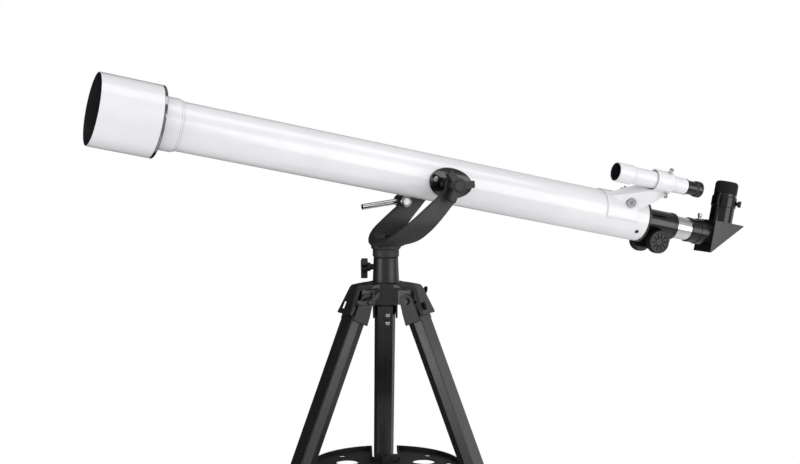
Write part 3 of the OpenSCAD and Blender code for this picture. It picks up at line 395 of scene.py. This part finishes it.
def mirror(name):
    graph = new_material(name)
    smear = graph.noise(scale=45.0, detail=4.0)
    return graph.finish(color=graph.mix(smear, (0.90, 0.92, 0.93), (0.84, 0.87, 0.88)),
                        rough=graph.ramp(smear, (0.4, 0.8), to=(0.01, 0.06)), metal=1.0)


def rubber(name):
    graph = new_material(name)
    fine = graph.noise(scale=2200.0, rough=0.7)
    blotch = graph.noise(scale=60.0, detail=4.0, rough=0.65)
    color = graph.mix(graph.ramp(blotch), (0.003, 0.003, 0.0034), (0.007, 0.007, 0.0075))
    color = graph.overlay(color, (0.07, 0.07, 0.07), mask=graph.edge(0.0009), amount=0.35)
    return graph.finish(color=color, rough=graph.ramp(blotch, to=(0.58, 0.74)), spec=0.28,
                        normal=graph.bump(fine, strength=0.30, depth=0.00006))


# ------------------------------------------------------------------ materials of the CAD nodes
NODE_MATERIALS = {
    "main_tube": white_paint("white_gloss_tube", TUBE, bore=30.9),
    "dew_shield": white_paint("white_gloss_shield", TUBE, bore=46.35),
    "lens_cell": white_paint("white_gloss_cell", TUBE, bore=31.2,
                             grooves=(-397.6, -376.2, -373.2)),
    "finder_bracket": white_paint("white_gloss_bracket", TUBE, bore=5.0),
    "finder_tube": white_paint("white_gloss_finder", FINDER, grooves=(279.3,)),
    "dew_shield_ring": chrome("dark_chrome_ring", tint=0.34, rough=(0.04, 0.10)),
    "drawtube": chrome("chrome_drawtube", tint=0.93, rough=(0.05, 0.14)),
    "adjust_rod": chrome("chrome_rod", tint=0.62, rough=(0.07, 0.18), placement=ROD),
    "swivel_screw": chrome("chrome_screw", tint=0.42, rough=(0.16, 0.30)),
    "diagonal_mirror": mirror("first_surface_mirror"),
    "yoke": powder("powder_coat_fork", base=0.011, rough=(0.42, 0.55),
                   grain=1150.0, strength=0.8),
    "azimuth_spindle": plastic("blackened_spindle", base=0.025, rough=(0.34, 0.44), grain=900.0,
                               depth=0.00004, strength=0.3, worn=0.05, metal=0.6),
    "tripod_hub": powder("powder_coat_hub", base=0.008, rough=(0.30, 0.42),
                         grain=1300.0, strength=0.45),
    "focus_knobs": plastic("moulded_focus_knob", base=0.012, rough=(0.36, 0.46),
                           grain=1700.0, depth=0.00008, strength=0.5),
    "altitude_knob": plastic("moulded_altitude_knob", base=0.009, rough=(0.40, 0.50),
                             grain=1300.0, depth=0.00010, strength=0.6),
    "azimuth_knob": plastic("moulded_azimuth_knob", base=0.006, rough=(0.34, 0.44),
                            grain=1500.0, depth=0.00007, strength=0.45),
    "diagonal_housing": plastic("moulded_diagonal", base=0.006, rough=(0.24, 0.34),
                                grain=1800.0, depth=0.00005, strength=0.30, coat=0.35),
    "eyepiece_holder": plastic("black_anodised_holder", base=0.002, rough=(0.10, 0.18),
                               grain=1800.0, depth=0.00003, strength=0.2, coat=0.2),
    "focuser_housing": plastic("gloss_black_focuser", base=0.003, rough=(0.08, 0.15),
                               grain=900.0, depth=0.00004, strength=0.15, coat=0.45),
    "saddle_plates": plastic("gloss_black_saddle", base=0.004, rough=(0.13, 0.22),
                             grain=800.0, depth=0.00004, strength=0.12, coat=0.5),
}
# shared by all other nodes of a slot, made when first needed
SLOT_MATERIALS = {
    "matt_black": lambda: plastic(
        "matt_black_flocking", base=0.010, rough=(0.80, 0.90), grain=2600.0,
        depth=0.00015, strength=0.8, worn=0.0, spec=0.2),
    "gloss_black": lambda: plastic(
        "gloss_black_paint", base=0.002, rough=(0.09, 0.16), grain=1000.0,
        depth=0.00004, strength=0.2, coat=0.35),
    "black_screws": lambda: plastic(
        "black_oxide_steel", base=0.035, rough=(0.28, 0.40), grain=900.0,
        depth=0.00004, strength=0.3, worn=0.08, metal=0.7),
    "bright_steel": lambda: chrome("nickel_plated_steel", tint=0.62, rough=(0.14, 0.28)),
    "knob_plastic": lambda: plastic(
        "moulded_knob", base=0.008, rough=(0.36, 0.46), grain=1500.0,
        depth=0.00008, strength=0.5),
    "rubber_black": lambda: rubber("black_rubber"),
    "hub_plastic": lambda: plastic(
        "moulded_hub", base=0.008, rough=(0.36, 0.46), grain=1300.0,
        depth=0.00008, strength=0.4),
    "brace_metal": lambda: plastic(
        "satin_black_steel", base=0.022, rough=(0.30, 0.40), grain=700.0,
        depth=0.00005, strength=0.3, worn=0.05, metal=0.2),
    "optical_glass": lambda: glass("coated_optical_glass"),
}
slot_of = {part["node"]: part["material_slot"] for part in frame["record"]["subparts"]}
made = {}


def slot_material(slot):
    if slot not in made:
        made[slot] = SLOT_MATERIALS[slot]()
    return made[slot]


def node_material(name):
    """A node's own material, its leg's, or the one its slot shares."""
    slot, leg = slot_of[name], name[-1]
    if name in NODE_MATERIALS:
        return NODE_MATERIALS[name]
    if slot == "leg_aluminium":
        # the outer legs get painted shade towards the bottom; the inner legs get none
        return anodised("dark_anodised_" + leg, leg, base=0.009, rough=(0.22, 0.32),
                        metal=0.0, bottom_painted_shade=0.35, spec=0.62)
    if slot == "leg_aluminium_light":
        return anodised("satin_anodised_" + leg, leg, base=0.42, rough=(0.30, 0.40),
                        metal=1.0, bottom_painted_shade=0.0, spec=0.5)
    return slot_material(slot)


for name, ob in NODES.items():
    material = node_material(name)
    ob.data.materials.clear()
    ob.data.materials.append(material)


# ------------------------------------------------------------------ modifiers of the CAD nodes
def smooth_shading_group():
    group = bpy.data.node_groups.new("shade_smooth", "GeometryNodeTree")
    for direction in ("INPUT", "OUTPUT"):
        group.interface.new_socket("Geometry", in_out=direction,
                                   socket_type="NodeSocketGeometry")
    start = group.nodes.new("NodeGroupInput")
    end = group.nodes.new("NodeGroupOutput")
    smooth = group.nodes.new("GeometryNodeSetShadeSmooth")
    group.links.new(start.outputs[0], smooth.inputs[0])
    group.links.new(smooth.outputs[0], end.inputs[0])
    return group


SMOOTH_GROUP = smooth_shading_group()


def weighted_normals(ob):
    normals = ob.modifiers.new("normals", "WEIGHTED_NORMAL")
    normals.weight = 60
    return normals


def machined(ob, width, angle):
    """Crisp part: small bevels, width in mm, on edges sharper than the angle in degrees."""
    weld = ob.modifiers.new("weld", "WELD")
    weld.merge_threshold = 1e-6
    flat = ob.modifiers.new("flat_faces", "DECIMATE")
    flat.decimate_type = "DISSOLVE"
    flat.angle_limit = math.radians(0.4)
    smooth = ob.modifiers.new("smooth", "NODES")
    smooth.node_group = SMOOTH_GROUP
    bevel = ob.modifiers.new("edges", "BEVEL")
    bevel.limit_method = "ANGLE"
    bevel.angle_limit = math.radians(angle)
    bevel.width = width * MM
    bevel.segments = 2
    bevel.use_clamp_overlap = True
    bevel.harden_normals = True
    bevel.miter_outer = "MITER_ARC"
    weighted_normals(ob).keep_sharp = True


def moulded(ob, voxel, rounds):
    """Soft part: remeshed with voxels in mm, then smoothed into fillets."""
    skin = ob.modifiers.new("skin", "REMESH")
    skin.mode = "VOXEL"
    skin.voxel_size = voxel * MM
    skin.adaptivity = 0.0
    skin.use_smooth_shade = True
    fillets = ob.modifiers.new("fillets", "SMOOTH")
    fillets.factor = 0.5
    fillets.iterations = rounds


def each_leg(table):
    return {f"{stem}_{leg}": value for stem, value in table.items() for leg in LEGS}


# node: (voxel in mm, smoothing rounds)
MOULDED = {
    "yoke": (0.75, 10), "tripod_hub": (0.75, 8), "finder_bracket": (0.6, 7),
    "saddle_plates": (0.55, 6), "altitude_knob": (0.5, 9), "azimuth_knob": (0.5, 8),
    "wing_nuts": (0.45, 6), "focus_knobs": (0.32, 4), "eyecup": (0.5, 6),
    "rod_swivel": (0.5, 5), "holder_screw": (0.3, 4),
    **each_leg({"leg_knob": (0.6, 7), "leg_head": (0.55, 6), "foot": (0.8, 8)}),
}
# node: bevel width in mm
DEFAULT_BEVEL = 0.25
BEVELS = {
    "dew_shield": 0.35, "lens_cell": 0.3, "focus_rack": 0.06, "pinion_shaft": 0.06,
    "tray": 0.6, "spreader_hub": 0.5, "diagonal_housing": 0.7,
    **each_leg({"leg_outer": 0.6, "leg_inner": 0.4, "brace": 0.4}),
}
for name, ob in NODES.items():
    if slot_of[name] == "optical_glass":
        continue
    if name in MOULDED:
        moulded(ob, *MOULDED[name])
    else:
        extruded = name.startswith(("leg_outer", "leg_inner"))
        machined(ob, BEVELS.get(name, DEFAULT_BEVEL), angle=12 if extruded else 32)


# ------------------------------------------------------------------ leg head screws
SCREW_RADIUS, SCREW_HEIGHT = 3.4, 1.9
SCREW_SEGMENTS = 48
# (share of the radius, share of the height), from the rim to the recess
HEAD_PROFILE = [(1.0, 0.0), (1.0, 0.35), (0.93, 0.62), (0.78, 0.84), (0.58, 0.97), (0.30, 1.0)]
# in the leg frame, mm: on the inner face, one below the other
SCREW_X, SCREW_Y = -11.52, -3.4
SCREW_ZS = (-27.0, -40.0)


def smooth_object(name, bm):
    mesh = bpy.data.meshes.new(name)
    bm.to_mesh(mesh)
    bm.free()
    for polygon in mesh.polygons:
        polygon.use_smooth = True
    ob = bpy.data.objects.new(name, mesh)
    scene.collection.objects.link(ob)
    return ob


def bridge(bm, first, second):
    for i in range(SCREW_SEGMENTS):
        j = (i + 1) % SCREW_SEGMENTS
        bm.faces.new((first[i], first[j], second[j], second[i]))


def pan_head(bm, placement, radius, height):
    """Round screw head with a cross recess, standing on the placement's z axis."""
    angles = [2 * math.pi * i / SCREW_SEGMENTS for i in range(SCREW_SEGMENTS)]

    def vertex(r, angle, z):
        point = Vector((r * MM * math.cos(angle), r * MM * math.sin(angle), z * MM))
        return bm.verts.new(placement @ point)

    rings = [[vertex(radius * r, angle, height * z) for angle in angles]
             for r, z in HEAD_PROFILE]
    for first, second in zip(rings, rings[1:]):
        bridge(bm, first, second)
    # recess: a four-armed well in the crown
    well_radius = radius * 0.30
    arms = [well_radius * (0.42 + 0.58 * abs(math.cos(2 * angle)) ** 6) * 0.98
            for angle in angles]
    top, middle = [], []
    for arm, angle in zip(arms, angles):
        top.append(vertex(well_radius, angle, height))
        middle.append(vertex(arm, angle, height - 0.12 * radius))
    low = [vertex(0.75 * arm, angle, height - 0.55 * radius) for arm, angle in zip(arms, angles)]
    bridge(bm, top, middle)
    bridge(bm, middle, low)
    centre = vertex(0, 0, height - 0.6 * radius)
    for i in range(SCREW_SEGMENTS):
        bm.faces.new((low[i], low[(i + 1) % SCREW_SEGMENTS], centre))


def leg_head_screws(leg):
    """Two pan-head screws that hold the leg head in its extrusion."""
    bm = bmesh.new()
    placement = leg_frame(leg)
    for z in SCREW_ZS:
        origin = placement @ Vector((SCREW_X * MM, SCREW_Y * MM, z * MM))
        seat = frame_at(origin, -placement.col[0].xyz, placement.col[1].xyz)
        pan_head(bm, seat, SCREW_RADIUS, SCREW_HEIGHT)
    bmesh.ops.remove_doubles(bm, verts=bm.verts, dist=1e-7)
    bmesh.ops.recalc_face_normals(bm, faces=bm.faces)
    ob = smooth_object("leg_head_screws_" + leg, bm)
    ob.data.materials.append(slot_material("bright_steel"))
    weighted_normals(ob)
    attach(ob, "leg_" + leg)


for leg in LEGS:
    leg_head_screws(leg)

# ------------------------------------------------------------------ studio
# a dark flag stands at the back left, as the camera looks: only reflections see it
FLAG = (-0.42, 0.906, 0.0)
FLOOR_RADIUS = 5.0
COVE_RADIUS = 2.5
WALL_TOP = 6.0
FLOOR_SEGMENTS = 96


def flag_mask(graph, direction):
    return graph.ramp(graph.vec("DOT_PRODUCT", direction, FLAG), (0.40, 0.72))


def floor_material():
    """White floor that fades outwards into an even glow."""
    graph = new_material("studio_floor")
    tone = graph.mix(graph.noise(scale=3.0, rough=0.5), (0.88, 0.88, 0.885), (0.92, 0.92, 0.925))
    material = graph.finish(color=tone, rough=0.7)
    radius = graph.vec("LENGTH", graph.coords())
    rays = graph.node("ShaderNodeLightPath").outputs
    flag = flag_mask(graph, graph.vec("NORMALIZE", graph.coords()))
    flag = graph.mul(flag, graph.ramp(radius, (0.20, 0.50)))
    flag = graph.mul(flag, rays["Is Glossy Ray"])
    glow_mask = graph.math("MAXIMUM", graph.ramp(radius, (0.45, 1.5)), flag)
    # glow: 0.85 for diffuse rays, 0.45 in reflections, 0.01 on the flag, 1 for the camera
    glow = graph.mixf(rays["Is Glossy Ray"], 0.85, 0.45)
    glow = graph.mixf(rays["Is Camera Ray"], graph.mixf(flag, glow, 0.01), 1.0)
    emission = graph.node("ShaderNodeEmission", {"Color": (1, 1, 1), "Strength": glow})
    nodes = graph.tree.nodes
    blend = graph.node("ShaderNodeMixShader", {
        0: glow_mask, 1: nodes["Principled BSDF"].outputs[0], 2: emission.outputs[0]})
    graph.put(nodes["Material Output"].inputs["Surface"], blend.outputs[0])
    return material


def add_floor():
    """Round floor that curves up into a wall."""
    # (radius, height)
    profile = [(0.0, 0.0), (1.0, 0.0), (2.5, 0.0), (FLOOR_RADIUS, 0.0)]
    profile += [(FLOOR_RADIUS + COVE_RADIUS * math.sin(math.radians(angle)),
                 COVE_RADIUS - COVE_RADIUS * math.cos(math.radians(angle)))
                for angle in range(6, 91, 6)]
    profile.append((FLOOR_RADIUS + COVE_RADIUS, WALL_TOP))
    bm = bmesh.new()
    angles = [2 * math.pi * i / FLOOR_SEGMENTS for i in range(FLOOR_SEGMENTS)]
    rings = [[bm.verts.new((r * math.cos(angle), r * math.sin(angle), z))
              for angle in (angles if r > 0 else [0.0])] for r, z in profile]
    for inner, outer in zip(rings, rings[1:]):
        for i in range(FLOOR_SEGMENTS):
            j = (i + 1) % FLOOR_SEGMENTS
            if len(inner) == 1:
                bm.faces.new([inner[0], outer[i], outer[j]])
            else:
                bm.faces.new([inner[i], outer[i], outer[j], inner[j]])
    ob = smooth_object("studio_floor", bm)
    ob.location = BASE + Vector((0, 0, -0.0006))
    ob.data.materials.append(floor_material())


def add_world():
    """White to the camera; in light and reflections, darker to the left and behind."""
    scene.world = bpy.data.worlds.new("studio")
    graph = Graph(scene.world)
    direction = graph.node("ShaderNodeTexCoord").outputs["Generated"]
    left = graph.vec("DOT_PRODUCT", direction, tuple(-CAMERA_RIGHT))
    up = graph.split(direction)[2]
    behind = graph.vec("DOT_PRODUCT", direction, (-0.35, 0.93, 0.0))
    sides = graph.ramp(graph.math("MAXIMUM", left, behind), (0.15, 0.75), to=(0.30, 0.05))
    light = graph.mixf(graph.ramp(up, (0.15, 0.85)), sides, 0.30)
    rays = graph.node("ShaderNodeLightPath").outputs
    flag = graph.mul(flag_mask(graph, direction), rays["Is Glossy Ray"])
    light = graph.mixf(flag, light, 0.02)
    background = graph.tree.nodes["Background"]
    graph.put(background.inputs["Color"], (1, 1, 1))
    graph.put(background.inputs["Strength"], graph.mixf(rays["Is Camera Ray"], light, 1.0))


def softbox(name, place, aim, width, height, power, along=None):
    light = bpy.data.lights.new(name, "AREA")
    light.shape = "RECTANGLE"
    light.size = width
    light.size_y = height
    light.energy = power
    ob = bpy.data.objects.new(name, light)
    ob.matrix_world = frame_at(place, place - aim, along)
    ob.visible_camera = False
    scene.collection.objects.link(ob)


add_floor()
add_world()

# long strip above the tube and parallel to it
tube_middle = TUBE_ORIGIN + TUBE_AXIS * -0.05
softbox("strip_top", tube_middle + Vector((0.0, -0.35, 1.10)), tube_middle,
        width=2.3, height=0.60, power=7.2, along=TUBE_AXIS)
# upright panels: name, place and aim from BASE, width, height, power
PANELS = [
    ("panel_front_right", (1.25, -2.15, 0.95), (0.05, 0.0, 0.72), 1.7, 1.9, 21.0),
    ("panel_left", (-2.5, -0.55, 0.75), (0.0, 0.0, 0.62), 0.9, 1.7, 17.0),
    ("panel_right", (2.4, 0.35, 0.85), (0.1, 0.0, 0.65), 1.1, 1.7, 3.0),
]
for name, place, aim, width, height, power in PANELS:
    softbox(name, BASE + Vector(place), BASE + Vector(aim), width, height, power)

scene.view_settings.view_transform = "Standard"
scene.view_settings.look = "None"
